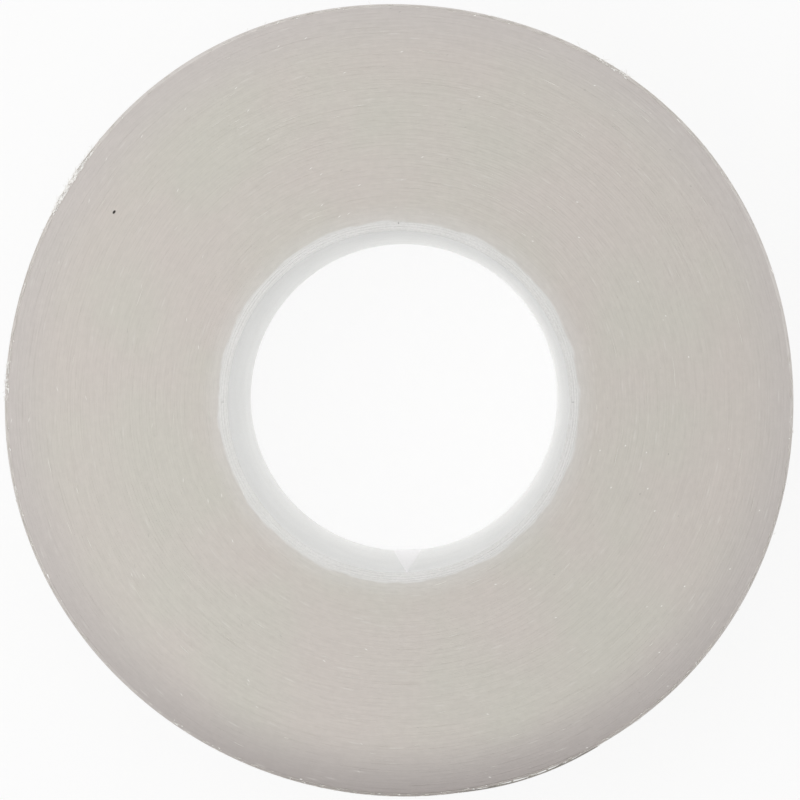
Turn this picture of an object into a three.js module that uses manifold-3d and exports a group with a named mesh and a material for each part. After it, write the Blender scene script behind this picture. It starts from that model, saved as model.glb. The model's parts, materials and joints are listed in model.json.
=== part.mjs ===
// Roll of self-adhesive glass-fibre mesh tape, wound on a rolled paper core.
// Units are millimetres and +Z is up. The roll lies on its side: its axis is Z, its lower side
// is at z = 0, and the roll is as high as the tape is wide.
import * as THREE from "three";
import { mergeVertices } from "three/addons/utils/BufferGeometryUtils.js";
import Module from "manifold-3d";

const wasm = await Module();
wasm.setup();

// Roll
const tapeWidth = 48;
const rollDiameter = 140; // over the tip of the free end
const tapeThickness = 0.4;
const windingTurns = 24; // loops shown: an inner loop is a bundle of about a dozen turns of tape
const turnGap = 0.45;
const edgeEase = 1.5; // how far the outermost turns draw in at each side of the roll
const easeReach = 12; // radial depth over which they do

// Core, from the bore outwards: white liner, two board plies, outer wrap
const coreBore = 60;
const linerThickness = 0.3;
const boardThickness = 0.4;
const wrapThickness = 0.25;
const glueLine = 0.05;
const seamGap = 0.5; // between the meeting edges of a rolled ply
const lapBase = 5.5; // the liner's lap is a long V, widest at the lower end
const lapMargin = 2; // from the V's point to the upper end
const lapTip = 0.4;
const coreSeat = 0.3; // from the core to the first turn
const climbLength = 12; // over which the second turn climbs onto the start of the first

// Free end of the tape, an open mesh of warp and weft yarns
const tailLength = 27;
const tailTipAngle = THREE.MathUtils.degToRad(300);
const peelGap = 0.3; // between the wound tape and the root of the free end
const meshPitch = 3.175; // eight yarns to the inch, each way
const warpWidth = 0.7;
const weftWidth = 0.9;

// Facets
const stepsPerTurn = 32;
const coreSegments = 72;

const STRIP_CORNERS = 4;

const FULL_TURN = 2 * Math.PI;
const rollRadius = rollDiameter / 2;
const boreRadius = coreBore / 2;
const linerRadius = boreRadius + linerThickness;
const innerBoardRadius = linerRadius + glueLine;
const outerBoardRadius = innerBoardRadius + boardThickness + glueLine;
const wrapRadius = outerBoardRadius + boardThickness + glueLine;
const coreRadius = wrapRadius + wrapThickness;
const firstTurnRadius = coreRadius + coreSeat;
const secondTurnRadius = firstTurnRadius + tapeThickness + turnGap;
const lastTurnRadius = rollRadius - tapeThickness;
const turnPitch = (lastTurnRadius - secondTurnRadius) / (windingTurns - 1);
const climbTurns = climbLength / firstTurnRadius / FULL_TURN;
const tailTurns = tailLength / rollRadius / FULL_TURN;
const peelTurns = peelGap / rollRadius / FULL_TURN;

// A steady spiral, in turns counted from the strip's start on the core.
const spiral = (turns) => secondTurnRadius + turnPitch * (turns - 1);

// The strip's inner face hugs the core, climbs over the strip's own start, then keeps to the spiral.
function stripInner(turns) {
  const climbed = THREE.MathUtils.clamp(1 - (1 - turns) / climbTurns, 0, 1);
  return turns < 1 ? THREE.MathUtils.lerp(firstTurnRadius, secondTurnRadius, climbed) : spiral(turns);
}

// Its outer face keeps the gap to the next turn. In the last turn it thins to a single tape.
function stripOuter(turns) {
  const lastTurnShare = Math.max(0, turns - windingTurns + 1);
  const underNext = spiral(Math.min(turns + 1, windingTurns)) - turnGap;
  return THREE.MathUtils.lerp(underNext, rollRadius, lastTurnShare);
}

// How far the tape's edge lies in from the roll's flat side: none near the core, most at the rim.
function sideEase(radius) {
  const share = THREE.MathUtils.clamp(1 - (rollRadius - radius) / easeReach, 0, 1);
  return edgeEase * share * share;
}

// A point on the roll: turns run anticlockwise from above and end at the tip of the free end.
const polar = (radius, turns, z) => {
  const angle = tailTipAngle + (turns - windingTurns) * FULL_TURN;
  return [radius * Math.cos(angle), radius * Math.sin(angle), z];
};

function indexedGeometry(points, triangles) {
  return new THREE.BufferGeometry()
    .setAttribute("position", new THREE.Float32BufferAttribute(points.flat(), 3))
    .setIndex(triangles.flat());
}

// A mesh with shared corners as a solid for cutting and joining.
function solid(geometry) {
  const bare = geometry.clone();
  bare.deleteAttribute("normal");
  bare.deleteAttribute("uv");
  const merged = mergeVertices(bare);
  return new wasm.Manifold(
    new wasm.Mesh({
      numProp: 3,
      vertProperties: new Float32Array(merged.attributes.position.array),
      triVerts: new Uint32Array(merged.index.array),
    }),
  );
}

function geometryOf(manifold) {
  const mesh = manifold.getMesh();
  return new THREE.BufferGeometry()
    .setAttribute("position", new THREE.BufferAttribute(mesh.vertProperties, 3))
    .setIndex(new THREE.BufferAttribute(mesh.triVerts, 1));
}

// Core plies

function extrudedUp(shape, height) {
  return new THREE.ExtrudeGeometry(shape, {
    depth: height,
    bevelEnabled: false,
    curveSegments: coreSegments / 2,
  });
}

function tube(inner, outer, height) {
  const ring = new THREE.Shape().absarc(0, 0, outer, 0, FULL_TURN);
  ring.holes.push(new THREE.Path().absarc(0, 0, inner, 0, FULL_TURN));
  return extrudedUp(ring, height);
}

// A ply is a sheet rolled round once, with its two edges meeting in a seam along the core.
// The seams of neighbouring plies lie apart, so their place is given in turns.
function rolledPly(inner, thickness, seamTurns) {
  const outer = inner + thickness;
  const seamAngle = seamTurns * FULL_TURN;
  const halfSeam = seamGap / 2 / inner;
  const from = seamAngle + halfSeam;
  const to = seamAngle + FULL_TURN - halfSeam;
  const sheet = new THREE.Shape().absarc(0, 0, outer, from, to).absarc(0, 0, inner, to, from, true);
  return extrudedUp(sheet, tapeWidth);
}

// The liner's end laps over its start on the bore side, a little askew, so the lap is a long V.
function liner() {
  const lapHeight = tapeWidth - lapMargin;
  const wedge = new THREE.Shape([
    new THREE.Vector2(-lapBase / 2, 0),
    new THREE.Vector2(lapBase / 2, 0),
    new THREE.Vector2(lapTip / 2, lapHeight),
    new THREE.Vector2(-lapTip / 2, lapHeight),
  ]);
  const wedgeSolid = solid(extrudedUp(wedge, rollRadius).rotateX(Math.PI / 2));
  const lapSheet = solid(tube(boreRadius - linerThickness, boreRadius + linerThickness / 2, tapeWidth));
  const body = solid(tube(boreRadius, linerRadius, tapeWidth));
  return geometryOf(body.add(lapSheet.intersect(wedgeSolid)));
}

// Wound tape

// One unbroken strip: four corners at each step of the spiral, joined by sides and closed by two ends.
function winding() {
  const lastTurn = windingTurns - tailTurns;
  const wholeSteps = Math.ceil(lastTurn * stepsPerTurn) - 1;
  const stops = Array.from({ length: wholeSteps + 1 }, (_, i) => i / stepsPerTurn);
  stops.push(lastTurn);

  const points = stops.flatMap((turns) => {
    const inner = stripInner(turns);
    const outer = stripOuter(turns);
    return [
      polar(inner, turns, sideEase(inner)),
      polar(outer, turns, sideEase(outer)),
      polar(outer, turns, tapeWidth - sideEase(outer)),
      polar(inner, turns, tapeWidth - sideEase(inner)),
    ];
  });
  const end = points.length - STRIP_CORNERS;
  const triangles = [];
  for (let step = 0; step < end; step += STRIP_CORNERS) {
    for (let corner = 0; corner < STRIP_CORNERS; corner++) {
      const a = step + corner;
      const b = step + ((corner + 1) % STRIP_CORNERS);
      triangles.push([a, b + STRIP_CORNERS, b], [a, a + STRIP_CORNERS, b + STRIP_CORNERS]);
    }
  }
  triangles.push([0, 1, 2], [0, 2, 3]);
  triangles.push([end, end + 2, end + 1], [end, end + 3, end + 2]);
  printLeastGap(points);
  return indexedGeometry(points, triangles);
}

// The least distance from a point on the outside of one turn to the point over it on the next turn.
function printLeastGap(points) {
  const turn = STRIP_CORNERS * stepsPerTurn;
  let least = Infinity;
  for (let i = 0; i + turn < points.length; i += STRIP_CORNERS) {
    const outerPoint = new THREE.Vector3(...points[i + 1]);
    const innerPoint = new THREE.Vector3(...points[i + turn]).setZ(outerPoint.z);
    least = Math.min(least, outerPoint.distanceTo(innerPoint));
  }
  console.log(`least gap between turns of the winding: ${least.toFixed(3)} mm`);
}

// Both edges of each yarn in turn, with the yarns spread evenly from one end of a length to the other.
function yarnEdges(length, yarnWidth) {
  const gaps = Math.max(1, Math.round((length - yarnWidth) / meshPitch));
  const pitch = (length - yarnWidth) / gaps;
  return Array.from({ length: gaps + 1 }, (_, i) => [i * pitch, i * pitch + yarnWidth]).flat();
}

// The free end: a lattice of cells along the tape and across it, open where no yarn runs.
function tail() {
  const rootTurns = windingTurns - tailTurns + peelTurns;
  const meshLength = tailLength - peelGap;
  const along = yarnEdges(meshLength, weftWidth);
  const across = yarnEdges(tapeWidth - 2 * edgeEase, warpWidth);
  const columns = along.length - 1;
  const rows = across.length - 1;
  const isYarn = (i, j) => i >= 0 && j >= 0 && i < columns && j < rows && !(i % 2 && j % 2);

  const points = along.flatMap((s) => {
    const turns = THREE.MathUtils.lerp(rootTurns, windingTurns, s / meshLength);
    return across.flatMap((t) => [
      polar(stripInner(turns), turns, edgeEase + t),
      polar(stripOuter(turns), turns, edgeEase + t),
    ]);
  });
  const inner = (i, j) => 2 * (i * across.length + j);
  const outer = (i, j) => inner(i, j) + 1;
  const triangles = [];
  const quad = (a, b, c, d) => triangles.push([a, b, c], [a, c, d]);
  const wall = (a, b) => quad(inner(...a), outer(...a), outer(...b), inner(...b));
  for (let i = 0; i < columns; i++) {
    for (let j = 0; j < rows; j++) {
      if (!isYarn(i, j)) continue;
      quad(outer(i, j), outer(i + 1, j), outer(i + 1, j + 1), outer(i, j + 1));
      quad(inner(i, j), inner(i, j + 1), inner(i + 1, j + 1), inner(i + 1, j));
      if (!isYarn(i - 1, j)) wall([i, j], [i, j + 1]);
      if (!isYarn(i + 1, j)) wall([i + 1, j + 1], [i + 1, j]);
      if (!isYarn(i, j - 1)) wall([i + 1, j], [i, j]);
      if (!isYarn(i, j + 1)) wall([i, j + 1], [i + 1, j + 1]);
    }
  }
  return indexedGeometry(points, triangles);
}

// Materials

const finish = (color, roughness) => new THREE.MeshStandardMaterial({ color, roughness, metalness: 0 });
const whitePaper = finish("#e6e4e1", 0.8);
const paleBoard = finish("#d2cfca", 0.95);
const wrapPaper = finish("#d8d3ca", 0.9);
const woundMesh = finish("#c8c3bc", 0.85);
const openMesh = finish("#dedad3", 0.75);

// Assembly

function piece(name, geometry, material) {
  const mesh = new THREE.Mesh(geometry, material);
  mesh.name = name;
  return mesh;
}

const core = new THREE.Group().add(
  piece("core_liner", liner(), whitePaper),
  piece("core_board_inner", rolledPly(innerBoardRadius, boardThickness, 0), paleBoard),
  piece("core_board_outer", rolledPly(outerBoardRadius, boardThickness, 1 / 2), paleBoard),
  piece("core_wrap", rolledPly(wrapRadius, wrapThickness, 1 / 4), wrapPaper),
);
const tape = new THREE.Group().add(
  piece("tape_winding", winding(), woundMesh),
  piece("tape_tail", tail(), openMesh),
);

const roll = new THREE.Group().add(core, tape);

export default roll;
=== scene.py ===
"""Looks of a roll of glass-fibre mesh tape on a rolled paper core.

Each new piece is a surface worked out as whole arrays, in metres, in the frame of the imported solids:
the roll's axis is Z, its lower side is at z = 0, and the tape's free end is at the -Y rim.
"""

import json
import math

import bpy
import numpy as np
from mathutils import Matrix, Vector


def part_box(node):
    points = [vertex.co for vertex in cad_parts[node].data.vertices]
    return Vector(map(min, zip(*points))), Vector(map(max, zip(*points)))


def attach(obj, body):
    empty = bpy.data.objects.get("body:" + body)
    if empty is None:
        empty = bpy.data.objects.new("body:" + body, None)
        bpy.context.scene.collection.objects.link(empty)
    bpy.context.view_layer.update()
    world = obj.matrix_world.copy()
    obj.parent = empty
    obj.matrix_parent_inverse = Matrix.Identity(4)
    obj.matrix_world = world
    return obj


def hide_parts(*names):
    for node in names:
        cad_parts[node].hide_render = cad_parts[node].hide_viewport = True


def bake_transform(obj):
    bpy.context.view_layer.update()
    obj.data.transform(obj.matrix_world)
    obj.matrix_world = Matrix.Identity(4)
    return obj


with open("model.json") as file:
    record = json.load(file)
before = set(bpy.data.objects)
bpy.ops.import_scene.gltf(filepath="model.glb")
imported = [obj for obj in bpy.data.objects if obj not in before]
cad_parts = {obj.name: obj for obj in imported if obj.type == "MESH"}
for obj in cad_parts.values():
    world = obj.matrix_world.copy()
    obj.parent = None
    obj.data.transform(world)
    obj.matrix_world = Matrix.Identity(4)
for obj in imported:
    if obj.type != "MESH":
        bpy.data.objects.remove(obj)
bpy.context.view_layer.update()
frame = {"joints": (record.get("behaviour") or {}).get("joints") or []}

MM = 0.001
TURN = 2 * math.pi
random = np.random.default_rng(27)

# Places from the frame
hinge = Vector(frame["joints"][0]["pos_m"])
rim_radius = math.hypot(hinge.x, hinge.y)
roll_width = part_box("tape_winding")[1].z
core_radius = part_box("core_wrap")[1].x

# Wound tape, shown as loops that each stand for a few turns
loop_pitch = 0.62 * MM
loop_gap = 0.004 * MM
loop_crown = 0.012 * MM
edge_height = 0.035 * MM
edge_length = 4 * MM
edge_places = np.array((0, 0.28, 0.72, 1))
knot_jitter = 0.4
swell_height = 0.1 * MM
swell_waves = 4
swell_twist = 90
ease_drop = 1 * MM
ease_reach = 12 * MM
# The upper side sinks most round slack_angle, where the wound_edges material also paints shade
slack_drop = 1.9 * MM
slack_angle = math.radians(270)
slack_tightness = 2.4
rim_waves = MM * np.array(((-0.21, -0.2), (-0.05, -0.06), (-0.2, 0.16), (-0.08, -0.11)))

# Mesh of the tape: pairs of thin warp strands that twist about flat weft strands
mesh_pitch = 3.175 * MM
warp_count = 16
warp_half_width = 0.17 * MM
warp_half_height = 0.04 * MM
warp_twist = 0.15 * MM
warp_lift = 0.06 * MM
lift_swing = 0.28
warp_wander = 0.16 * MM
wander_length = 21 * MM
weft_half_width = 0.42 * MM
weft_half_height = 0.04 * MM
weft_offset = 0.6 * MM
weft_skew = 0.09 * MM
weft_bow = 0.12 * MM
selvedge = 0.25 * MM
band_depth = 0.4 * MM
band_share = 0.98
band_step = 0.8 * MM
band_bareness = 0.28
tape_thickness = 2 * (warp_lift + warp_half_height)

# Outer turns, counted back along the tape from the tip of the free end
tip_angle = math.radians(300)
tail_length = rim_radius * (tip_angle - math.atan2(hinge.y, hinge.x) - TURN)
outer_radius = rim_radius - tape_thickness / 2
turn_length = TURN * outer_radius
open_turns = 3
turn_overlap = 0.4
tail_lift = 0.3 * MM
tail_bulge = 0.8 * MM
tail_inset = 0.4 * MM
tail_fray = 1.1 * MM
tail_pinch = 0.3
pinch_margin = 3 * MM
pinch_reach = 8 * MM

# Core plies: each node's thickness, the place of its seam in turns, and the ease of its inner edges
plies = {
    "core_liner": (0.3 * MM, None, 0.14 * MM),
    "core_board_inner": (0.44 * MM, 0, 0.02 * MM),
    "core_board_outer": (0.44 * MM, 1 / 2, 0.02 * MM),
    "core_wrap": (0.29 * MM, 1 / 4, 0.02 * MM),
}
ply_outer_ease = 0.02 * MM
ply_steps = 13
seam_gap = 0.08 * MM
cut_depth = 0.015 * MM
lap_base = 5.5 * MM
lap_margin = 0.4 * MM
lap_tip = 0.3 * MM
lap_angle = math.radians(-88.7)
lap_lean = math.radians(1.5)
lap_stand = 0.6

# Loose glass fibres. A tuft at the rim has its middle and spread in degrees, and its number of fibres.
fibre_radius = 0.045 * MM
fibre_sides = 4
fibre_tip = 0.3
fibre_span = 3 * MM
side_fibre_lift = 0.03 * MM
rim_tufts = ((146, 5.5, 200), (147, 3, 160), (177, 3, 70), (57, 3, 60), (0, 180, 160))
upper_share = 0.75
lying_share = 0.7

# Sockets of a Mix node that carry colours
mix_first = 6
mix_second = 7
mix_result = 2


# Meshes from arrays


def grid_quads(rows, columns, close_rows, close_columns):
    """Corner numbers of the quads between neighbours of a grid, also across a closed edge."""
    row = np.arange(rows if close_rows else rows - 1)[:, None]
    column = np.arange(columns if close_columns else columns - 1)[None, :]
    next_row = (row + 1) % rows
    next_column = (column + 1) % columns
    corners = (
        row * columns + column,
        next_row * columns + column,
        next_row * columns + next_column,
        row * columns + next_column,
    )
    return np.stack(np.broadcast_arrays(*corners), -1).reshape(-1, 4)


def make_piece(name, points, faces, material):
    """A smooth-shaded mesh object at the origin, with its place in its points."""
    mesh = bpy.data.meshes.new(name)
    mesh.from_pydata(points.reshape(-1, 3), [], faces, shade_flat=False)
    mesh.set_sharp_from_angle(angle=math.radians(50))
    mesh.materials.append(material)
    piece = bpy.data.objects.new(name, mesh)
    bpy.context.scene.collection.objects.link(piece)
    return piece


def keep_on_points(piece, name, values):
    """Stores a number, or a row of three, for each point of a piece. A material reads them by name."""
    vectors = values.ndim > 1
    stored = piece.data.attributes.new(name, "FLOAT_VECTOR" if vectors else "FLOAT", "POINT")
    stored.data.foreach_set("vector" if vectors else "value", values.astype(np.float32).ravel())


def out_of_round(angle):
    """How far the rim stands out from a circle at an angle: a sum of waves, from two to five in a
    turn."""
    return sum(
        cosine * np.cos(waves * angle) + sine * np.sin(waves * angle)
        for waves, (cosine, sine) in enumerate(rim_waves, 2)
    )


def polar(radius, angle, height):
    """Points from radius, angle round the roll's axis and height, as whole arrays. The wound tape is a
    little out of round, by the share of the way from the core to the rim."""
    share = np.clip((radius - core_radius) / (rim_radius - core_radius), 0, None)
    radius = radius + share * out_of_round(angle)
    points = (radius * np.cos(angle), radius * np.sin(angle), height)
    return np.stack(np.broadcast_arrays(*points), -1)


def carried(name, points, closed_path, material):
    """A closed profile, by columns, carried along a path, by rows. An open path is closed by its end
    profiles. The profile runs so that the faces point out."""
    rows, columns = points.shape[:2]
    faces = grid_quads(rows, columns, closed_path, True).tolist()
    if not closed_path:
        first = np.arange(columns)
        faces += [first.tolist(), (first[::-1] + (rows - 1) * columns).tolist()]
    return make_piece(name, points, faces, material)


def strand_mesh(name, points, place, material):
    """Closed strands, one a row, with steps along each and corners round each step. Each point keeps
    where it lies in its strand, across, through and along it, and each strand has a tone of its own."""
    count, steps, sides = points.shape[:3]
    first = (np.arange(count) * steps * sides)[:, None, None]
    quads = (grid_quads(steps, sides, False, True)[None] + first).reshape(-1, 4)
    ring = np.arange(sides)[None, :]
    starts = first[:, 0] + ring
    ends = first[:, 0] + (steps - 1) * sides + ring[:, ::-1]
    piece = make_piece(name, points, quads.tolist() + starts.tolist() + ends.tolist(), material)
    keep_on_points(piece, "strand_place", np.stack(np.broadcast_arrays(*place), -1))
    keep_on_points(piece, "strand_tone", np.repeat(random.random(count), steps * sides))
    return piece


def strands(name, angle, radius, height, along, half_width, half_height, across_tape, sides, material):
    """Flat strands on the roll. A strand's section is an oval: its width lies across the strand on the
    roll's surface, and its thickness is radial. A weft strand, across the tape, is wide in angle, and a
    warp strand, along it, is wide in height."""
    section = TURN * np.arange(sides) / sides
    wide = half_width[..., None] * np.cos(section)
    thick = half_height[..., None] * np.sin(section)
    on_radius = radius[..., None]
    points = polar(
        on_radius + thick,
        angle[..., None] + (wide / on_radius if across_tape else 0),
        height[..., None] + (0 if across_tape else wide),
    )
    return strand_mesh(name, points, (wide, thick, along[..., None]), material)


def fibres(name, paths, thickest, material):
    """Thin round fibres along free paths, one a row. A fibre is thickest at its middle, by a sine of
    the share of its length, and has four sides, square to its path."""
    share = np.linspace(0, 1, paths.shape[1])[:, None]
    section = TURN * np.arange(fibre_sides) / fibre_sides
    ahead = np.gradient(paths, axis=1)
    ahead /= np.linalg.norm(ahead, axis=-1, keepdims=True)
    aside = np.cross(ahead, random.normal(size=(len(paths), 1, 3)))
    aside /= np.linalg.norm(aside, axis=-1, keepdims=True)
    above = np.cross(ahead, aside)
    half = thickest * (fibre_tip + (1 - fibre_tip) * np.sin(math.pi * share))
    wide = half * np.cos(section)
    thick = half * np.sin(section)
    points = paths[:, :, None] + wide[..., None] * aside[:, :, None] + thick[..., None] * above[:, :, None]
    along = fibre_span * share + np.zeros((len(paths), 1, 1))
    return strand_mesh(name, points, (wide, thick, along), material)


# Shader helpers


def put(tree, kind, inputs=None, **settings):
    """Adds a node. An input that is a socket is linked, and any other is set."""
    node = tree.nodes.new(kind)
    for key, value in settings.items():
        setattr(node, key, value)
    for key, value in (inputs or {}).items():
        if isinstance(value, bpy.types.NodeSocket):
            tree.links.new(value, node.inputs[key])
        else:
            node.inputs[key].default_value = value
    return node


def calc(tree, operation, *values):
    """The result of a Math node."""
    return put(tree, "ShaderNodeMath", dict(enumerate(values)), operation=operation).outputs[0]


def vector_calc(tree, operation, *values):
    """The results of a Vector Math node."""
    return put(tree, "ShaderNodeVectorMath", dict(enumerate(values)), operation=operation).outputs


def ramp(tree, value, low, high, from_low=0.0, from_high=1.0):
    """A value's smooth step between two limits, mapped to low and high."""
    limits = {"Value": value, "From Min": from_low, "From Max": from_high, "To Min": low, "To Max": high}
    return put(tree, "ShaderNodeMapRange", limits, interpolation_type="SMOOTHSTEP").outputs["Result"]


def blend_colors(tree, share, first, second):
    """One colour at a share of 0, the other at 1."""
    colors = {"Factor": share, mix_first: first, mix_second: second}
    return put(tree, "ShaderNodeMix", colors, data_type="RGBA").outputs[mix_result]


def scale_color(tree, color, factor):
    """A colour made lighter or darker by a factor."""
    return put(tree, "ShaderNodeVectorMath", {0: color, "Scale": factor}, operation="SCALE").outputs[0]


def paint(red, green, blue):
    """A colour given as seen on a screen, 0 to 255, as the linear values that a shader takes."""
    seen = np.array((red, green, blue)) / 255
    linear = np.where(seen <= 0.04045, seen / 12.92, ((seen + 0.055) / 1.055) ** 2.4)
    return (*linear.tolist(), 1.0)


def new_group(name, inputs, outputs):
    """An empty node group with named sockets, its input node's outputs and its output node's inputs."""
    group = bpy.data.node_groups.new(name, "ShaderNodeTree")
    for label, kind in inputs:
        group.interface.new_socket(label, in_out="INPUT", socket_type=kind)
    for label in outputs:
        group.interface.new_socket(label, in_out="OUTPUT", socket_type="NodeSocketFloat")
    return group, group.nodes.new("NodeGroupInput").outputs, group.nodes.new("NodeGroupOutput").inputs


def use_group(tree, group, **inputs):
    """Places a group in a material. Underscores in the names stand for blanks."""
    named = {key.replace("_", " "): value for key, value in inputs.items()}
    return put(tree, "ShaderNodeGroup", named, node_tree=group).outputs


def new_material(name):
    """A material with a Principled BSDF and nothing else."""
    material = bpy.data.materials.new(name)
    material.use_nodes = True
    tree = material.node_tree
    return material, tree, tree.nodes["Principled BSDF"]


def object_place(tree):
    """A point's place on its piece, which is its place in the roll's frame."""
    return put(tree, "ShaderNodeTexCoord").outputs["Object"]


def set_finish(surface, roughness, specular):
    """A material's plain roughness and its share of mirrored light."""
    surface.inputs["Roughness"].default_value = roughness
    surface.inputs["Specular IOR Level"].default_value = specular


def add_relief(tree, surface, height, strength, distance):
    """Small bumps on a material's surface, by a height from 0 to 1 over a distance."""
    relief = put(tree, "ShaderNodeBump", {"Height": height, "Strength": strength, "Distance": distance})
    tree.links.new(relief.outputs[0], surface.inputs["Normal"])


def seen_by_camera(tree):
    """1 for rays by which the camera sees a surface, also mirrored or through glass, and 0 for other
    rays."""
    path = put(tree, "ShaderNodeLightPath").outputs
    seen = calc(tree, "MAXIMUM", path["Is Camera Ray"], path["Is Glossy Ray"])
    return calc(tree, "MAXIMUM", seen, path["Is Transmission Ray"])


# Shared effects


def mottle_group():
    """Cloudy tone between Low and High, from noise at a scale per metre."""
    sockets = (("Vector", "NodeSocketVector"), ("Scale", "NodeSocketFloat"))
    limits = (("Low", "NodeSocketFloat"), ("High", "NodeSocketFloat"))
    group, given, result = new_group("Mottle", sockets + limits, ("Tone",))
    field = {"Vector": given["Vector"], "Scale": given["Scale"], "Detail": 3.0}
    noise = put(group, "ShaderNodeTexNoise", field).outputs["Fac"]
    tone = ramp(group, noise, given["Low"], given["High"], 0.3, 0.7)
    group.links.new(tone, result["Tone"])
    return group


def turns_group():
    """The edges of wound turns, seen on a side of the roll. A point's turn is its radius over the
    turns' pitch, less its share of a full angle, so the turns are one spiral. Each turn is cut into
    lengths of the given size. Chance is one random number for each length, Turn Tone one for each turn,
    and Form falls from 1 along the middle of a length to 0 at its edges. Cosine and Sine are those of
    the point's angle."""
    sockets = (("Vector", "NodeSocketVector"), ("Pitch", "NodeSocketFloat"), ("Length", "NodeSocketFloat"))
    labels = ("Chance", "Turn Tone", "Form", "Radius", "Cosine", "Sine")
    group, given, result = new_group("Wound Turns", sockets, labels)
    flat = vector_calc(group, "MULTIPLY", given["Vector"], (1, 1, 0))["Vector"]
    radius = vector_calc(group, "LENGTH", flat)["Value"]
    parts = put(group, "ShaderNodeSeparateXYZ", {0: given["Vector"]}).outputs
    angle = calc(group, "ARCTAN2", parts["Y"], parts["X"])
    pitches = calc(group, "DIVIDE", radius, given["Pitch"])
    spiral = calc(group, "SUBTRACT", pitches, calc(group, "DIVIDE", angle, TURN))
    turn = calc(group, "FLOOR", spiral)
    turn_tone = put(group, "ShaderNodeTexWhiteNoise", {"W": turn}, noise_dimensions="1D").outputs["Value"]
    arc = calc(group, "DIVIDE", calc(group, "MULTIPLY", angle, radius), given["Length"])
    arc = calc(group, "MULTIPLY_ADD", turn_tone, 7.0, arc)
    cell = put(group, "ShaderNodeCombineXYZ", {"X": turn, "Y": calc(group, "FLOOR", arc)}).outputs[0]
    chance = put(group, "ShaderNodeTexWhiteNoise", {"Vector": cell}, noise_dimensions="2D").outputs["Value"]
    across = calc(group, "PINGPONG", spiral, 0.5)
    length = calc(group, "PINGPONG", arc, 0.5)
    form = calc(group, "MULTIPLY", ramp(group, across, 0, 1, 0.0, 0.4), ramp(group, length, 0, 1, 0.0, 0.4))
    cosine = calc(group, "COSINE", angle)
    sine = calc(group, "SINE", angle)
    for label, socket in zip(labels, (chance, turn_tone, form, radius, cosine, sine)):
        group.links.new(socket, result[label])
    return group


def filaments_group():
    """Glass filaments drawn out along a strand, with a cloudy coat. Height is noise that is high on
    filaments, and Tone is darker between them."""
    sockets = (("Vector", "NodeSocketVector"), ("Strand Place", "NodeSocketVector"))
    group, given, result = new_group("Glass Filaments", sockets, ("Tone", "Height"))
    stretch = {"Vector": given["Strand Place"], "Scale": (16000, 16000, 260)}
    drawn = put(group, "ShaderNodeMapping", stretch).outputs[0]
    height = put(group, "ShaderNodeTexNoise", {"Vector": drawn, "Scale": 1.0, "Detail": 2.0}).outputs["Fac"]
    coat = use_group(group, mottle, Vector=given["Vector"], Scale=700.0, Low=0.94, High=1.04)["Tone"]
    tone = calc(group, "MULTIPLY", coat, ramp(group, height, 0.86, 1.04, 0.3, 0.65))
    group.links.new(tone, result["Tone"])
    group.links.new(height, result["Height"])
    return group


def paper_group():
    """Paper fibres. Clouds is a slow change of shade, Tooth the fine roughness of the surface and Tone
    the change of shade that comes with the tooth."""
    sockets = (("Vector", "NodeSocketVector"),)
    group, given, result = new_group("Paper Fibres", sockets, ("Clouds", "Tooth", "Tone"))
    clouds = use_group(group, mottle, Vector=given["Vector"], Scale=130.0, Low=0.0, High=0.6)["Tone"]
    tooth = use_group(group, mottle, Vector=given["Vector"], Scale=2600.0, Low=0.0, High=1.0)["Tone"]
    group.links.new(clouds, result["Clouds"])
    group.links.new(tooth, result["Tooth"])
    group.links.new(ramp(group, tooth, 0.97, 1.02), result["Tone"])
    return group


mottle = mottle_group()
turns = turns_group()
filaments = filaments_group()
paper_fibres = paper_group()


# Materials


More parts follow.
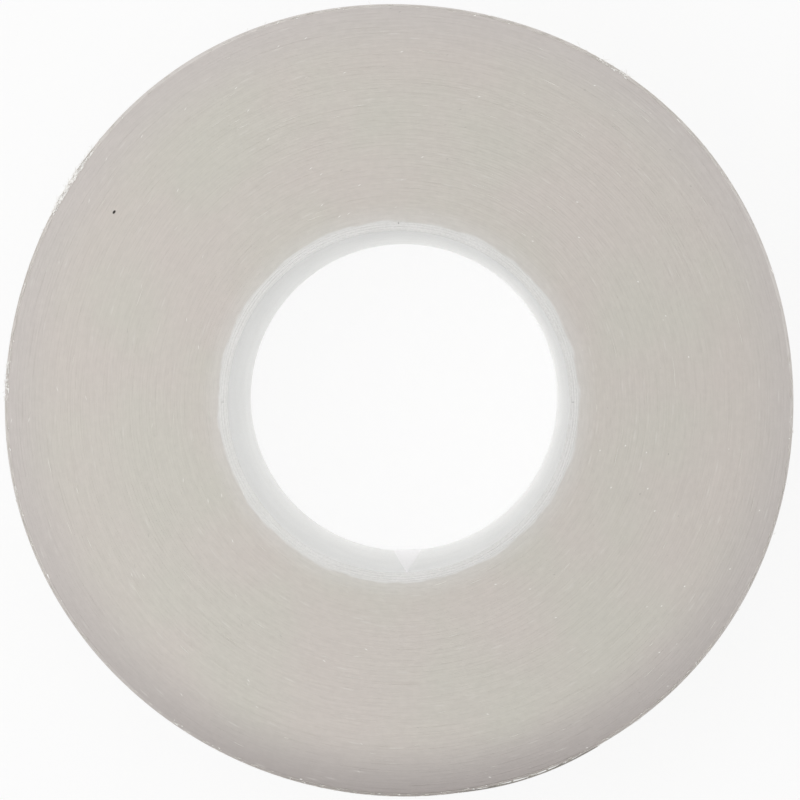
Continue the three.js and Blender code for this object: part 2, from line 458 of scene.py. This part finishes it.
def wound_edges_material():
    """Packed edges of the turns: off-white, with fine turns and dabs of yarn along them, a lighter band
    at the core, a rim painted a touch greyer as shade, a much darker painted shade round the slack
    side of the rim, and a few specks. The attribute bareness is how far white yarn shows, less so in
    the painted shade of the slack side."""
    material, tree, surface = new_material("wound_edges")
    place = object_place(tree)
    fine = use_group(tree, turns, Vector=place, Pitch=0.134 * MM, Length=3.2 * MM)
    yarn = use_group(tree, turns, Vector=place, Pitch=0.42 * MM, Length=2.8 * MM)
    fleck = use_group(tree, turns, Vector=place, Pitch=0.32 * MM, Length=0.42 * MM)
    clouds = use_group(tree, mottle, Vector=place, Scale=45.0, Low=0.0, High=1.0)["Tone"]
    grain = use_group(tree, mottle, Vector=place, Scale=900.0, Low=0.985, High=1.015)["Tone"]
    radius = fine["Radius"]
    ring = {"X": fine["Cosine"], "Y": fine["Sine"], "Z": calc(tree, "MULTIPLY", radius, 150.0)}
    round_place = put(tree, "ShaderNodeCombineXYZ", ring).outputs[0]
    dabs = use_group(tree, mottle, Vector=round_place, Scale=14.0, Low=0.984, High=1.016)["Tone"]

    color = blend_colors(tree, clouds, paint(205.4, 198.4, 192.2), paint(203.2, 200, 191.2))
    near_core = ramp(tree, radius, 0.4, 0, core_radius, core_radius + 4 * MM)
    color = blend_colors(tree, near_core, color, paint(216, 214, 211))
    ragged = use_group(tree, mottle, Vector=round_place, Scale=5.0, Low=-0.24 * MM, High=0.24 * MM)["Tone"]
    ragged = calc(tree, "ADD", radius, ragged)
    seat = ramp(tree, ragged, 0.9, 0, core_radius + 0.05 * MM, core_radius + 0.55 * MM)
    color = blend_colors(tree, seat, color, paint(224, 223, 221))
    # Painted shade: the outer 11 mm of the side are painted a touch greyer and bluer, for the rim's
    # darkening as it curves away
    rim_painted_shade = ramp(tree, radius, 0, 1, rim_radius - 11 * MM, rim_radius)
    color = blend_colors(tree, rim_painted_shade, color, paint(203, 197, 193))
    # Painted shade: round slack_angle the outer turns are painted much darker, for the shade of the side
    # that slopes down there away from the lamps
    painted_shade_side = math.sin(slack_angle) * slack_tightness
    slack = calc(tree, "MULTIPLY_ADD", fine["Sine"], painted_shade_side, -slack_tightness)
    slack = calc(tree, "POWER", math.e, slack)
    painted_shade_reach = ramp(tree, radius, 0, 1, rim_radius - ease_reach, rim_radius + 3 * MM)
    color = blend_colors(tree, calc(tree, "MULTIPLY", slack, painted_shade_reach), color, paint(171, 164, 161))
    # White yarn shows less inside that painted shade
    bareness = put(tree, "ShaderNodeAttribute", attribute_name="bareness").outputs["Fac"]
    white = calc(tree, "MULTIPLY", bareness, calc(tree, "SUBTRACT", 1.0, slack))
    color = blend_colors(tree, white, color, paint(244, 241, 237))
    tone = calc(tree, "MULTIPLY", grain, dabs)
    tone = calc(tree, "MULTIPLY", tone, ramp(tree, fine["Turn Tone"], 0.994, 1.006))
    tone = calc(tree, "MULTIPLY", tone, ramp(tree, fine["Chance"], 0.988, 1.012))
    color = scale_color(tree, color, tone)
    pale = calc(tree, "MULTIPLY", ramp(tree, yarn["Chance"], 0, 0.3, 0.955, 1.0), yarn["Form"])
    color = blend_colors(tree, pale, color, paint(226, 223, 218))
    bright = calc(tree, "MULTIPLY", ramp(tree, fleck["Chance"], 0, 1, 0.9988, 0.9996), fleck["Form"])
    color = blend_colors(tree, bright, color, paint(240, 238, 234))
    grey = calc(tree, "MULTIPLY", ramp(tree, fleck["Chance"], 0.5, 0, 0.0, 0.0006), fleck["Form"])
    color = blend_colors(tree, grey, color, paint(150, 147, 143))
    speck_place = {"Vector": place, "Location": (-50.0 * MM, 33.37 * MM, roll_width)}
    speck_place |= {"Rotation": (0, 0, math.radians(55)), "Scale": (0.4 * MM, 0.24 * MM, 10 * MM)}
    speck = put(tree, "ShaderNodeMapping", speck_place, vector_type="TEXTURE").outputs[0]
    speck = vector_calc(tree, "LENGTH", speck)["Value"]
    color = blend_colors(tree, ramp(tree, speck, 1, 0, 0.7, 1.1), color, paint(42, 38, 36))
    tree.links.new(color, surface.inputs["Base Color"])

    add_relief(tree, surface, yarn["Form"], 0.15, 0.05 * MM)
    set_finish(surface, 0.78, 0.3)
    return material


def under_mesh_material():
    """Deeper turns seen between the open ones at the rim: yarn in rows along and across the
    tape, painted darker than the open yarn as shade, and darker still between the rows as painted
    shade."""
    material, tree, surface = new_material("under_mesh")
    place = object_place(tree)
    parts = put(tree, "ShaderNodeSeparateXYZ", {0: place}).outputs
    angle = calc(tree, "ARCTAN2", parts["Y"], parts["X"])
    round_rim = calc(tree, "MULTIPLY", angle, rim_radius)
    warp = calc(tree, "PINGPONG", calc(tree, "DIVIDE", parts["Z"], mesh_pitch), 0.5)
    weft = calc(tree, "PINGPONG", calc(tree, "DIVIDE", round_rim, mesh_pitch), 0.5)
    yarn = calc(tree, "MAXIMUM", ramp(tree, warp, 0, 1, 0.2, 0.35), ramp(tree, weft, 0, 1, 0.2, 0.3))
    grain = use_group(tree, mottle, Vector=place, Scale=1800.0, Low=0.85, High=1.1)["Tone"]
    # Painted shade: the deeper yarn and the gaps between its rows are painted dark for the shade they lie
    # in
    color = blend_colors(tree, yarn, paint(158, 154, 148), paint(208, 205, 199))
    tree.links.new(scale_color(tree, color, grain), surface.inputs["Base Color"])
    add_relief(tree, surface, yarn, 0.6, 0.2 * MM)
    set_finish(surface, 0.75, 0.5)
    return material


def glass_yarn_material(name, pale, dark):
    """Coated glass yarn: off-white, with fine filaments that run along each strand and a slight
    gloss."""
    material, tree, surface = new_material(name)
    place = put(tree, "ShaderNodeAttribute", attribute_name="strand_place").outputs["Vector"]
    own = put(tree, "ShaderNodeAttribute", attribute_name="strand_tone").outputs["Fac"]
    drawn = use_group(tree, filaments, Vector=object_place(tree), Strand_Place=place)
    color = blend_colors(tree, own, paint(*dark), paint(*pale))
    tree.links.new(scale_color(tree, color, drawn["Tone"]), surface.inputs["Base Color"])
    add_relief(tree, surface, drawn["Height"], 0.5, 0.03 * MM)
    set_finish(surface, 0.5, 0.45)
    tree.links.new(ramp(tree, drawn["Height"], 0.62, 0.42), surface.inputs["Roughness"])
    return material


def paper_material(name, pale, dark, fibre_depth):
    """Paper or board: pale and dark fibres in a soft tone, with a slight tooth."""
    material, tree, surface = new_material(name)
    fibrous = use_group(tree, paper_fibres, Vector=object_place(tree))
    color = blend_colors(tree, fibrous["Clouds"], paint(*pale), paint(*dark))
    color = scale_color(tree, color, fibrous["Tone"])
    tree.links.new(color, surface.inputs["Base Color"])
    add_relief(tree, surface, fibrous["Tooth"], 0.3, fibre_depth)
    set_finish(surface, 0.85, 0.1)
    return material


wound_edges = wound_edges_material()
under_mesh = under_mesh_material()
glass_yarn = glass_yarn_material("glass_yarn", (236, 234, 228), (226, 223, 216))
white_fibre = glass_yarn_material("white_fibre", (254, 253, 250), (247, 245, 241))
# Painted shade: the free end's edge yarn is painted darker than the glass yarn, for the shade of the edge
# that stands off the roll
painted_shade_edge_yarn = glass_yarn_material("painted_shade_edge_yarn", (186, 181, 176), (176, 172, 167))
liner_paper = paper_material("liner_paper", (244, 244, 243), (239, 239, 238), 0.02 * MM)
lap_paper = paper_material("lap_paper", (253, 252, 253), (250, 249, 250), 0.02 * MM)
core_board = paper_material("core_board", (229, 228, 226), (223, 222, 219), 0.05 * MM)
wrap_paper = paper_material("wrap_paper", (227, 226, 223), (220, 218, 214), 0.03 * MM)


# Wound tape


swell_phase = random.uniform(0, TURN, (2, swell_waves))


def side_height(radius, angle, upper):
    """Height of the upper or lower side of the roll. The sides draw in near the rim, by the square of
    the share of the reach, and the upper one more so where the outer turns are slack, round one angle.
    Four long waves round the roll swell the sides a little."""
    share = np.clip((radius - rim_radius + ease_reach) / ease_reach, 0, 1)
    slack = slack_drop * np.exp(slack_tightness * (np.cos(angle - slack_angle) - 1)) if upper else 0
    waves = sum(
        np.cos((wave + 1) * angle + swell_twist * wave * (radius - core_radius) + phase)
        for wave, phase in enumerate(swell_phase[int(upper)])
    )
    swell = swell_height * (swell_waves - waves) / (2 * swell_waves)
    inset = (ease_drop + slack) * share**2 + swell
    return roll_width - inset if upper else inset


def uneven(length):
    """Random heights along a strip's edge, by its length, which change every few millimetres."""
    knots = np.arange(length.min(), length.max() + edge_length, edge_length)
    knots = knots + random.uniform(-knot_jitter, knot_jitter, len(knots)) * edge_length
    return np.interp(length, knots, random.normal(0, edge_height / 2, len(knots)))


def edge_profile(inner, outer):
    """Radii across the edge of a strip from its inner to its outer face, and how far the edge lies
    below the top of its crown there, by the square of the distance from the middle."""
    return inner + (outer - inner) * edge_places, loop_crown * (2 * edge_places - 1) ** 2


def wound_tape():
    """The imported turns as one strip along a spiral, in loops counted from its start on the core. Its
    outer face gains about one pitch in each loop, its inner face lies one loop behind, and both stop at
    the core and at the rim, so the strip starts and ends in a thin wedge. Across, its edges are
    crowned. Along, they rise and sink by random heights that change every few millimetres."""
    steps_per_loop = 180
    inside = core_radius
    outside = outer_radius - (open_turns - turn_overlap) * tape_thickness
    loops = int((outside - inside) / loop_pitch)
    turn = np.linspace(0, loops + 1, (loops + 1) * steps_per_loop)
    angle = tip_angle + TURN * turn
    pitches = random.uniform(0.6, 1.4, loops)
    gained = np.concatenate(([0], np.cumsum(pitches))) / pitches.sum()
    outer = inside + (outside - inside) * np.interp(turn, np.arange(loops + 1), gained)
    inner = inside + (outside - inside) * np.interp(turn - 1, np.arange(loops + 1), gained)
    inner = np.minimum(inner + loop_gap, outer - loop_gap / 2)

    length = np.cumsum(TURN * outer / steps_per_loop)
    radius, drop = edge_profile(inner[:, None], outer[:, None])
    upper = side_height(radius, angle[:, None], True) + uneven(length)[:, None] - drop
    lower = side_height(radius, angle[:, None], False) - uneven(length)[:, None] + drop
    radius = np.concatenate((radius[:, ::-1], radius), 1)
    height = np.concatenate((upper[:, ::-1], lower), 1)
    piece = carried("wound_tape", polar(radius, angle[:, None], height), False, wound_edges)

    piece.data.materials.append(under_mesh)
    columns = radius.shape[1]
    column = np.tile(np.arange(columns), len(turn) - 1)
    row_turn = np.repeat(turn[:-1], columns)
    on_rim = (column == columns - 1) & (row_turn > loops - 1)
    on_rim = np.concatenate((on_rim, [False, False]))
    piece.data.polygons.foreach_set("material_index", on_rim.astype(np.int32))
    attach(piece, "roll")
    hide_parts("tape_winding")


# Open mesh of the outer turns and the free end


def free_share(back):
    """Share of the free end that lies between its root and a length back from the tip: 1 at the tip."""
    return np.clip(1 - back / tail_length, 0, None)


def edge_inset(back):
    """How far the mesh keeps below the close yarn of the tape's edges: fully along most of the free
    end."""
    return tail_inset * np.minimum(3 * free_share(back), 1)


def tape_radius(back, across=0):
    """Radius of the tape's middle, by the length back from the tip and the share of the tape's width:
    one thickness less in each turn. The free end is loose between its root and tip, by a sine: its
    edges stand off the turn below a little, and it bulges more between them, by one less the eighth
    power."""
    loose = np.sin(math.pi * np.clip(back / tail_length, 0, 1))
    stand_off = tail_lift + tail_bulge * (1 - (2 * across - 1) ** 8)
    return outer_radius - tape_thickness * back / turn_length + stand_off * loose


def tape_angle(back):
    """Angle round the roll's axis, by the length back from the tip."""
    return tip_angle - back / outer_radius


def tape_edges(back):
    """Heights of the tape's lower and upper edges, by the length back from the tip."""
    return (side_height(tape_radius(back), tape_angle(back), upper) for upper in (False, True))


def warp_strands(name, first, last, pieces_per_pitch, material):
    """Warp strands of a stretch of tape from one length back from the tip to another. Each warp is two
    strands that change sides between wefts, by a cosine of the length over the pitch, one passing over
    every weft and the other under it. Warps wander a little across the tape. A stretch that starts at
    the tip is frayed: its strands end at random lengths."""
    fray = tail_fray if first == 0 else 0
    steps = int(round((last - first) / mesh_pitch * pieces_per_pitch)) + 1
    start = first - fray * random.random((2 * warp_count, 1))
    back = start + (last - start) * np.linspace(0, 1, steps)[None, :]
    low, high = tape_edges(back)
    over = np.repeat([[1], [-1]], warp_count, axis=0)
    across = np.tile(np.linspace(0, 1, warp_count), 2)[:, None]
    inset = selvedge + edge_inset(back)
    lane = low + inset + (high - low - 2 * inset) * across
    wander = np.tile(random.uniform(0, TURN, (warp_count, 1)), (2, 1))
    twist = math.pi * back / mesh_pitch
    wandered = warp_wander * np.sin(back / wander_length + wander)
    height = lane + wandered + over * warp_twist * np.cos(twist)
    lift = over * warp_lift * (1 - lift_swing + lift_swing * np.cos(2 * twist))
    return strands(
        name,
        tape_angle(back),
        tape_radius(back, across) + lift,
        height,
        back,
        np.full_like(back, warp_half_width),
        np.full_like(back, warp_half_height),
        across_tape=False,
        sides=5,
        material=material,
    )


def weft_strands(name, first, last, steps, pinch, material):
    """Weft strands of a stretch of tape, a pitch apart, each a flat yarn across the tape that runs a
    little askew and swells between the warps. Their cut ends stand out past the last warp by random
    lengths. Near the tape's edges the yarn is pinched to a share of its width, by a smooth step."""
    number = np.arange(math.ceil(first / mesh_pitch), math.ceil(last / mesh_pitch))[:, None]
    count = len(number)
    share = np.linspace(0, 1, steps)[None, :]
    low, high = tape_edges(number * mesh_pitch)
    ends = random.uniform(-0.12, 0.2, (2, count, 1)) * MM
    inset = edge_inset(number * mesh_pitch)
    height = (low + inset - ends[0]) * (1 - share) + (high - inset + ends[1]) * share
    skew = random.normal(0, weft_skew, (2, count, 1))
    bow = random.normal(0, weft_bow, (count, 1)) * np.sin(math.pi * share)
    back = number * mesh_pitch + weft_offset + skew[0] + skew[1] * share + bow
    between = 0.5 + 0.5 * np.cos(TURN * warp_count * share)
    from_edge = roll_width * np.minimum(share, 1 - share)
    spread = np.clip((from_edge - pinch_margin) / pinch_reach, 0, 1)
    spread = pinch + (1 - pinch) * spread**2 * (3 - 2 * spread)
    return strands(
        name,
        tape_angle(back),
        tape_radius(back, share),
        height,
        height + 0 * back,
        weft_half_width * (0.85 + 0.2 * between) * spread,
        weft_half_height + 0 * back,
        across_tape=True,
        sides=6,
        material=material,
    )


def selvedge_band(name, first, last, upper):
    """The close yarn along one edge of a stretch of tape: a strip as thick as the tape and a little
    deep, with a crowned edge, carried along the tape. The bands of neighbouring turns meet, and go on
    the roll's side."""
    steps = int((last - first) / band_step)
    back = np.linspace(last, first, steps)[:, None]
    half = band_share / 2 * tape_thickness
    radius, drop = edge_profile(tape_radius(back) - half, tape_radius(back) + half)
    angle = tape_angle(back)
    way = 1 if upper else -1
    edge = side_height(radius, angle, upper) + way * (uneven(back) - drop)
    sides = (edge, edge - band_depth) if upper else (edge + band_depth, edge)
    height = np.concatenate((sides[0][:, ::-1], sides[1]), 1)
    radius = np.concatenate((radius[:, ::-1], radius), 1)
    piece = carried(name, polar(radius, angle, height), False, wound_edges)
    keep_on_points(piece, "bareness", np.full(len(piece.data.vertices), band_bareness))
    return piece


def free_selvedges(name):
    """The close yarn along both edges of the free end, as two flat strands, painted dark as the shade of
    the edge.
    """
    steps = 67
    back = np.linspace(0, tail_length, steps)[None, :] + np.zeros((2, 1))
    low, high = tape_edges(back[:1])
    return strands(
        name,
        tape_angle(back),
        tape_radius(back),
        np.concatenate((low + band_depth / 2, high - band_depth / 2)),
        back,
        np.full_like(back, band_depth / 2),
        np.full_like(back, tape_thickness / 2),
        across_tape=False,
        sides=8,
        material=painted_shade_edge_yarn,
    )


def open_mesh():
    """The outer turns of the tape, which ride on the roll, and the free end, whose pieces begin at its
    root."""
    for upper in (False, True):
        side = "upper" if upper else "lower"
        band = selvedge_band(f"turns_{side}_selvedge", tail_length, open_turns * turn_length, upper)
        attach(band, "roll")
    for turn in range(open_turns):
        first = tail_length if turn == 0 else turn * turn_length
        last = (turn + 1) * turn_length
        detail = 4 if turn == 0 else 3
        for piece in (
            warp_strands(f"turn_{turn + 1}_warp", first, last, detail, glass_yarn),
            weft_strands(f"turn_{turn + 1}_weft", first, last, 8 * detail + 1, 1, glass_yarn),
        ):
            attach(piece, "roll")

    tail_pieces = (
        warp_strands("free_end_warp", 0, tail_length, 6, glass_yarn),
        weft_strands("free_end_weft", 0, tail_length, 49, tail_pinch, glass_yarn),
        free_selvedges("free_end_selvedges"),
    )
    for piece in tail_pieces:
        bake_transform(piece)
    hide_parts("tape_tail")


# Loose fibres


def side_fibres(upper):
    """Filaments that lie along the turns' edges on one side of the roll, a few millimetres long, at
    random places and a little askew."""
    count = 140
    share = np.linspace(-0.5, 0.5, 5)[None, :]
    radius = np.sqrt(random.uniform((core_radius + 1 * MM) ** 2, (rim_radius - 2 * MM) ** 2, (count, 1)))
    length = random.uniform(0.8, 3.6, (count, 1)) * MM
    askew = random.normal(0, 0.05, (count, 1))
    angle = random.uniform(0, TURN, (count, 1)) + length * share / radius
    on_radius = radius + askew * length * share
    lift = side_fibre_lift if upper else -side_fibre_lift
    height = side_height(on_radius, angle, upper) + lift * (1 - (2 * share) ** 2)
    thickest = random.uniform(0.6, 1.5, (count, 1, 1)) * fibre_radius
    name = "upper_fibres" if upper else "lower_fibres"
    piece = fibres(name, polar(on_radius, angle, height), thickest, glass_yarn)
    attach(piece, "roll")


def rim_fibres():
    """Broken filaments at the upper and lower edges of the rim, in tufts at a few places and thinly all
    round. Most lie on the edge in short bits. The others stand out from it, bend by the square of their
    length's share and taper off."""
    places = [
        random.uniform(middle - spread, middle + spread, number) for middle, spread, number in rim_tufts
    ]
    angle = np.radians(np.concatenate(places))[:, None]
    count = len(angle)
    share = np.linspace(0, 1, 6)[None, :]
    upper = random.random((count, 1)) < upper_share
    way = np.where(upper, 1, -1)
    lying = random.random((count, 1)) < lying_share
    short = random.uniform(0.15, 0.5, (count, 1))
    long = random.uniform(0.4, 1.4, (count, 1))
    length = np.where(lying, short, long) * MM
    start = rim_radius - np.where(lying, random.uniform(0.05, 0.75, (count, 1)), 0.1) * MM
    out = np.where(lying, random.normal(0.1, 0.35, (count, 1)), np.abs(random.normal(0.3, 0.3, (count, 1))))
    along, bend = random.normal(0, np.where(lying, 0.9, 0.4), (2, count, 1))
    radius = np.minimum(start + length * out * share, rim_radius + 0.6 * MM)
    turned = angle + length / rim_radius * (along * share + bend * share**2)
    edge = np.where(upper, side_height(radius, turned, True), side_height(radius, turned, False))
    rise = np.where(lying, 0.06, random.uniform(-0.3, 0.2, (count, 1))) * MM
    height = edge + way * (rise + 0.12 * length * share)
    thickest = random.uniform(0.6, 1.1, (count, 1, 1)) * fibre_radius
    thickest = np.where(lying, 2.4, 1.0)[..., None] * thickest
    piece = fibres("rim_fibres", polar(radius, turned, height), thickest, white_fibre)
    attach(piece, "roll")


# Core


cut_phase = random.uniform(0, TURN, 3)


def core_ply(node, material):
    """A rolled sheet of the core: a thin wall with eased ends, carried round the axis, open at its seam
    where it has one. Its ends are cut a little unevenly, by three slow waves, and show raw board, as
    its seam does."""
    thickness, seam, ease = plies[node]
    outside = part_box(node)[1].x
    inside = outside - thickness
    half_seam = 0 if seam is None else seam_gap / 2 / inside
    start = 0 if seam is None else TURN * seam
    steps = 241
    angle = np.linspace(start + half_seam, start + TURN - half_seam, steps)
    angle = (angle[:-1] if seam is None else angle)[:, None]

    inner_wall = np.linspace(ease, roll_width - ease, ply_steps)
    outer_wall = np.linspace(ply_outer_ease, roll_width - ply_outer_ease, ply_steps)
    end = np.array((ease, thickness - ply_outer_ease))
    out = np.concatenate((end[::-1], np.zeros(ply_steps), end, np.full(ply_steps, thickness)))
    height = np.concatenate((np.full(2, roll_width), inner_wall[::-1], np.zeros(2), outer_wall))
    cut = cut_depth * sum(np.cos(wave * angle + phase) for wave, phase in enumerate(cut_phase, 2))
    upper = 2 * height / roll_width - 1
    points = polar(inside + out, angle, height + cut * upper)
    piece = carried(node + "_sheet", points, seam is None, material)

    piece.data.materials.append(core_board)
    columns = len(out)
    end_columns = (0, 1, ply_steps + 1, ply_steps + 2, ply_steps + 3, columns - 1)
    raw = np.isin(np.arange(len(piece.data.polygons)) % columns, end_columns)
    piece.data.polygons.foreach_set("material_index", raw.astype(np.int32))
    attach(piece, "roll")
    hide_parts(node)


def liner_lap():
    """The liner's lap: a flat strand up the bore wall that leans a little. Its width shrinks evenly to
    a point at the upper end."""
    steps = 25
    share = np.linspace(0, 1, steps)[None, :]
    thickness = plies["core_liner"][0]
    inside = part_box("core_liner")[1].x - thickness
    height = (roll_width - lap_margin) * share
    piece = strands(
        "liner_lap",
        lap_angle + lap_lean * share,
        inside + 0 * share,
        height,
        height,
        (lap_base + (lap_tip - lap_base) * share) / 2,
        lap_stand * thickness + 0 * share,
        across_tape=True,
        sides=16,
        material=lap_paper,
    )
    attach(piece, "roll")


wound_tape()
open_mesh()
core_ply("core_liner", liner_paper)
core_ply("core_board_inner", core_board)
core_ply("core_board_outer", core_board)
core_ply("core_wrap", wrap_paper)
liner_lap()
side_fibres(True)
side_fibres(False)
rim_fibres()


# Stage, light and camera


floor_reach = 3.0
floor_drop = 0.15 * MM
floor_whiteness = 0.85
table_drop = 0.1 * MM
sky_level = 0.645
sky_lean = (0.2, 0.1, 0)
photo_size = 800
photo_rim_radius = 398.6
eye_distance = 412 * MM
eye_shift = (0.0204, 0.0180)
aim_shift = (0.24 * MM, 0.36 * MM)


def floor():
    """A pale floor that the camera sees as nearly white, with the roll's shadow kept in it."""
    corners = np.array([(-1, -1, 0), (1, -1, 0), (1, 1, 0), (-1, 1, 0)]) * floor_reach
    corners[:, 2] = -floor_drop
    material, tree, surface = new_material("pale_floor")
    surface.inputs["Base Color"].default_value = (0.95, 0.95, 0.95, 1)
    set_finish(surface, 0.9, 0.1)
    white = put(tree, "ShaderNodeEmission", {"Color": (1, 1, 1, 1), "Strength": 1.0}).outputs[0]
    share = calc(tree, "MULTIPLY", seen_by_camera(tree), floor_whiteness)
    mix = put(tree, "ShaderNodeMixShader", {0: share, 1: surface.outputs[0], 2: white})
    tree.links.new(mix.outputs[0], tree.nodes["Material Output"].inputs["Surface"])
    make_piece("floor", corners, [(0, 1, 2, 3)], material)


def sky():
    """Soft light from all round, stronger from +X and +Y than from the other sides, which the camera
    sees as white."""
    world = bpy.data.worlds.new("studio")
    world.use_nodes = True
    tree = world.node_tree
    light = tree.nodes["Background"]
    light.inputs["Color"].default_value = (1, 1, 1, 1)
    way = put(tree, "ShaderNodeTexCoord").outputs["Generated"]
    lean = vector_calc(tree, "DOT_PRODUCT", way, sky_lean)["Value"]
    level = calc(tree, "MULTIPLY_ADD", lean, sky_level, sky_level)
    levels = {"Value": seen_by_camera(tree), "To Min": level, "To Max": 1.0}
    strength = put(tree, "ShaderNodeMapRange", levels)
    tree.links.new(strength.outputs["Result"], light.inputs["Strength"])
    bpy.context.scene.world = world


def lamp(name, azimuth, elevation, distance, size, level):
    """A square soft light aimed at the roll. Its power gives a face that lies flat the stated level of
    light."""
    aim = Vector((0, 0, roll_width))
    turned = math.radians(azimuth)
    raised = math.radians(elevation)
    level_share = math.cos(raised)
    way = Vector((level_share * math.cos(turned), level_share * math.sin(turned), math.sin(raised)))
    data = bpy.data.lights.new(name, "AREA")
    data.size = size
    data.energy = level * math.pi**2 * distance**2 / math.sin(raised)
    light = bpy.data.objects.new(name, data)
    light.location = aim + distance * way
    light.rotation_euler = way.to_track_quat("Z", "Y").to_euler()
    bpy.context.scene.collection.objects.link(light)


def light_table(size, level):
    """A soft light from the table itself, which reaches the bore and the rim from below. It isn't seen
    directly."""
    data = bpy.data.lights.new("light_table", "AREA")
    data.size = size
    data.energy = level * math.pi * size**2
    light = bpy.data.objects.new("light_table", data)
    light.location = (0, 0, -table_drop)
    light.rotation_euler = (math.pi, 0, 0)
    light.visible_camera = False
    light.visible_glossy = False
    light.visible_transmission = False
    bpy.context.scene.collection.objects.link(light)


def camera():
    """Looks down on the upper side from a little to the right of the axis and above it, with +Y up in
    the picture. The lens makes the rim as large as in the photograph."""
    aim = Vector((*aim_shift, roll_width))
    eye = aim + eye_distance * Vector((*eye_shift, 1))
    forward = (aim - eye).normalized()
    right = forward.cross(Vector((0, 1, 0))).normalized()
    turned = Matrix((right, right.cross(forward), -forward)).transposed()
    data = bpy.data.cameras.new("photo_view")
    seen = rim_radius * photo_size / photo_rim_radius
    data.angle = 2 * math.atan(seen / 2 / (aim - eye).length)
    data.clip_start = 0.01
    data.clip_end = 20
    eye_object = bpy.data.objects.new("photo_view", data)
    eye_object.matrix_world = Matrix.Translation(eye) @ turned.to_4x4()
    bpy.context.scene.collection.objects.link(eye_object)
    bpy.context.scene.camera = eye_object


floor()
sky()
lamp("key", azimuth=95, elevation=66, distance=0.5, size=0.3, level=0.08)
lamp("left", azimuth=190, elevation=66, distance=0.28, size=0.25, level=0.285)
light_table(size=0.4, level=0.425)
camera()
bpy.context.scene.view_settings.view_transform = "Standard"
